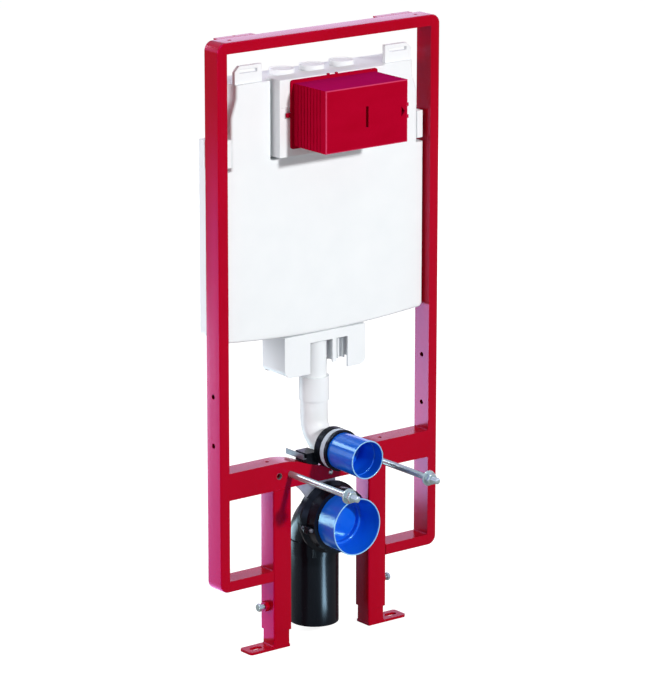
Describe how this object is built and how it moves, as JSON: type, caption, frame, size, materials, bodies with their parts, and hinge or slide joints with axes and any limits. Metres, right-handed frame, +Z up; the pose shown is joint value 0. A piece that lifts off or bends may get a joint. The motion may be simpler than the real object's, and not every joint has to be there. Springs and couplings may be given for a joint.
{
  "type": "wall hung toilet frame",
  "caption": "Red steel installation frame for a wall hung toilet, with a flat concealed cistern, a flush bend, a waste bend, fixing studs and legs of adjustable height.",
  "frame": {"origin": "on the floor, midway between the floor bolt slots of the two feet and at half the depth of the frame's tubes", "axes": "+Z up, +X to the right seen from the room, -Y towards the room"},
  "size_m": [0.49, 0.2915, 1.12],
  "materials": {
    "red_paint": "gloss powder coat",
    "red_plastic": "satin moulded plastic",
    "white_plastic": "satin moulded plastic",
    "black_plastic": "satin moulded plastic",
    "blue_plastic": "gloss moulded plastic",
    "grey_plastic": "satin moulded plastic",
    "zinc": "bright zinc plating"
  },
  "bodies": {
    "feet": {"left_inner_leg": "red_paint", "right_inner_leg": "red_paint", "left_foot_plate": "red_paint", "right_foot_plate": "red_paint"},
    "frame": {"left_upright": "red_paint", "right_upright": "red_paint", "top_rail": "red_paint", "left_wall_bracket": "red_paint", "right_wall_bracket": "red_paint", "cross_rail": "red_paint", "left_bottom_rail": "red_paint", "right_bottom_rail": "red_paint", "left_leg": "red_paint", "right_leg": "red_paint", "left_clamp_nut": "red_paint", "right_clamp_nut": "red_paint", "stud_sleeves": "red_paint", "left_clamp_screw": "zinc", "right_clamp_screw": "zinc", "left_stud": "zinc", "right_stud": "zinc", "left_stud_washer": "zinc", "right_stud_washer": "zinc", "left_stud_nut": "zinc", "right_stud_nut": "zinc", "rail_screw": "zinc", "clamp_strip": "zinc", "waste_hanger": "zinc", "cistern_tank": "white_plastic", "left_cistern_lug": "white_plastic", "right_cistern_lug": "white_plastic", "left_port_cap": "white_plastic", "middle_port_cap": "white_plastic", "right_port_cap": "white_plastic", "left_cistern_clip": "white_plastic", "right_cistern_clip": "white_plastic", "service_neck": "white_plastic", "outlet_skirt": "white_plastic", "flush_outlet": "white_plastic", "flush_pipe": "white_plastic", "flush_clamp": "black_plastic", "flush_lip_ring": "black_plastic", "waste_bend": "black_plastic", "flush_cap": "blue_plastic", "waste_cap": "blue_plastic", "flush_seal_ring": "grey_plastic", "protection_box": "red_plastic"}
  },
  "joints": [
    {"name": "height_slide", "type": "slide", "parent": "feet", "child": "frame", "axis": [0, 0, 1], "range_m": [-0.015, 0.15]}
  ]
}
